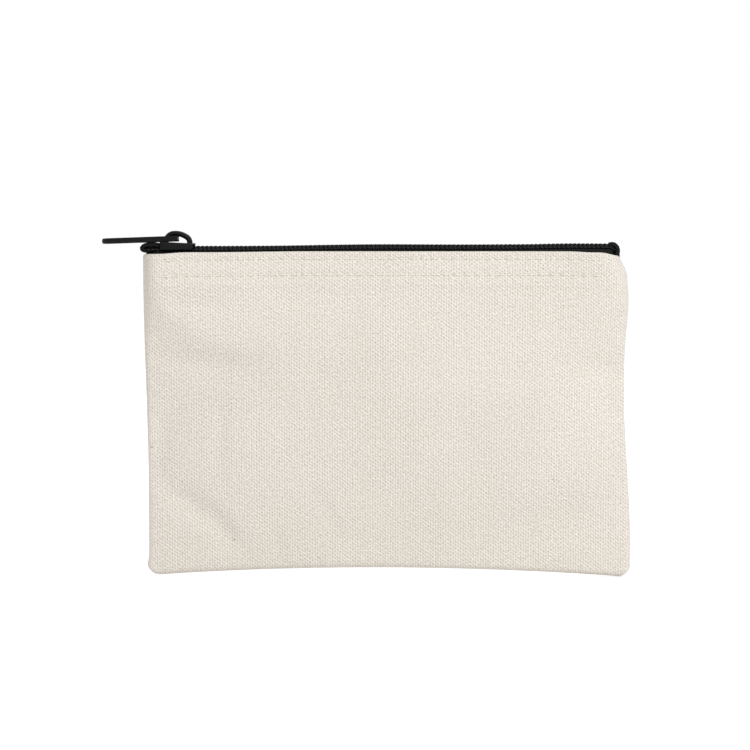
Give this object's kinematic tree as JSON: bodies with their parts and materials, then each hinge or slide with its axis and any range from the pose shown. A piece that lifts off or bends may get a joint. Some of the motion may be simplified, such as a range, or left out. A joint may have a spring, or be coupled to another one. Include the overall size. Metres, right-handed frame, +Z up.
{
  "type": "zippered pouch",
  "caption": "Flat rectangular canvas pouch with a coil zipper across the mouth, a locking slider with a long pull tab, and twin rows of topstitching.",
  "frame": {"origin": "on the surface the pouch stands on, below the middle of the whole object with the pull tab at rest", "axes": "+X along the zipper, from its closed end to its open end; +Z up from the bottom seam to the mouth; the front panel faces -Y"},
  "size_m": [0.1652, 0.014, 0.109],
  "materials": {
    "canvas": "natural cotton duck, matte",
    "sewing_thread": "cream polyester thread",
    "tape": "black woven tape",
    "coil": "black nylon monofilament, satin",
    "slider_metal": "black satin paint on zinc",
    "spring_steel": "bare spring steel"
  },
  "bodies": {
    "pouch_seams": {"left_side_seam": "canvas", "right_side_seam": "canvas", "bottom_seam": "canvas", "left_seam_thread": "sewing_thread", "right_seam_thread": "sewing_thread", "bottom_seam_thread": "sewing_thread", "left_overlock": "sewing_thread", "right_overlock": "sewing_thread", "bottom_overlock": "sewing_thread", "left_tape_end": "tape", "right_tape_end": "tape", "left_coil_end": "coil", "right_coil_end": "coil"},
    "front_wall": {"front_panel": "canvas", "front_zipper_tape": "tape", "front_coil": "coil", "front_filler_cord": "tape", "front_coil_thread": "tape", "front_upper_topstitch": "sewing_thread", "front_lower_topstitch": "sewing_thread"},
    "back_wall": {"back_panel": "canvas", "back_zipper_tape": "tape", "back_coil": "coil", "back_filler_cord": "tape", "back_coil_thread": "tape", "back_upper_topstitch": "sewing_thread", "back_lower_topstitch": "sewing_thread"},
    "slider": {"slider_body": "slider_metal", "slider_crown": "slider_metal", "lock_spring": "spring_steel"},
    "pull": {"pull_tab": "slider_metal"}
  },
  "joints": [
    {"name": "front_opening", "type": "hinge", "parent": "pouch_seams", "child": "front_wall", "pos_m": [0, 0, 0.0003], "axis": [1, 0, 0], "range_deg": [0, 8]},
    {"name": "back_opening", "type": "hinge", "parent": "pouch_seams", "child": "back_wall", "pos_m": [0, 0, 0.0003], "axis": [1, 0, 0], "range_deg": [-8, 0]},
    {"name": "slider_travel", "type": "slide", "parent": "pouch_seams", "child": "slider", "axis": [1, 0, 0], "range_m": [0, 0.13]},
    {"name": "pull_swing", "type": "hinge", "parent": "slider", "child": "pull", "pos_m": [-0.05936, 0, 0.1066], "axis": [0, 1, 0], "range_deg": [0, 183]}
  ],
  "couplings": [
    {"joint": "back_opening", "follows": "front_opening", "ratio": -1}
  ]
}
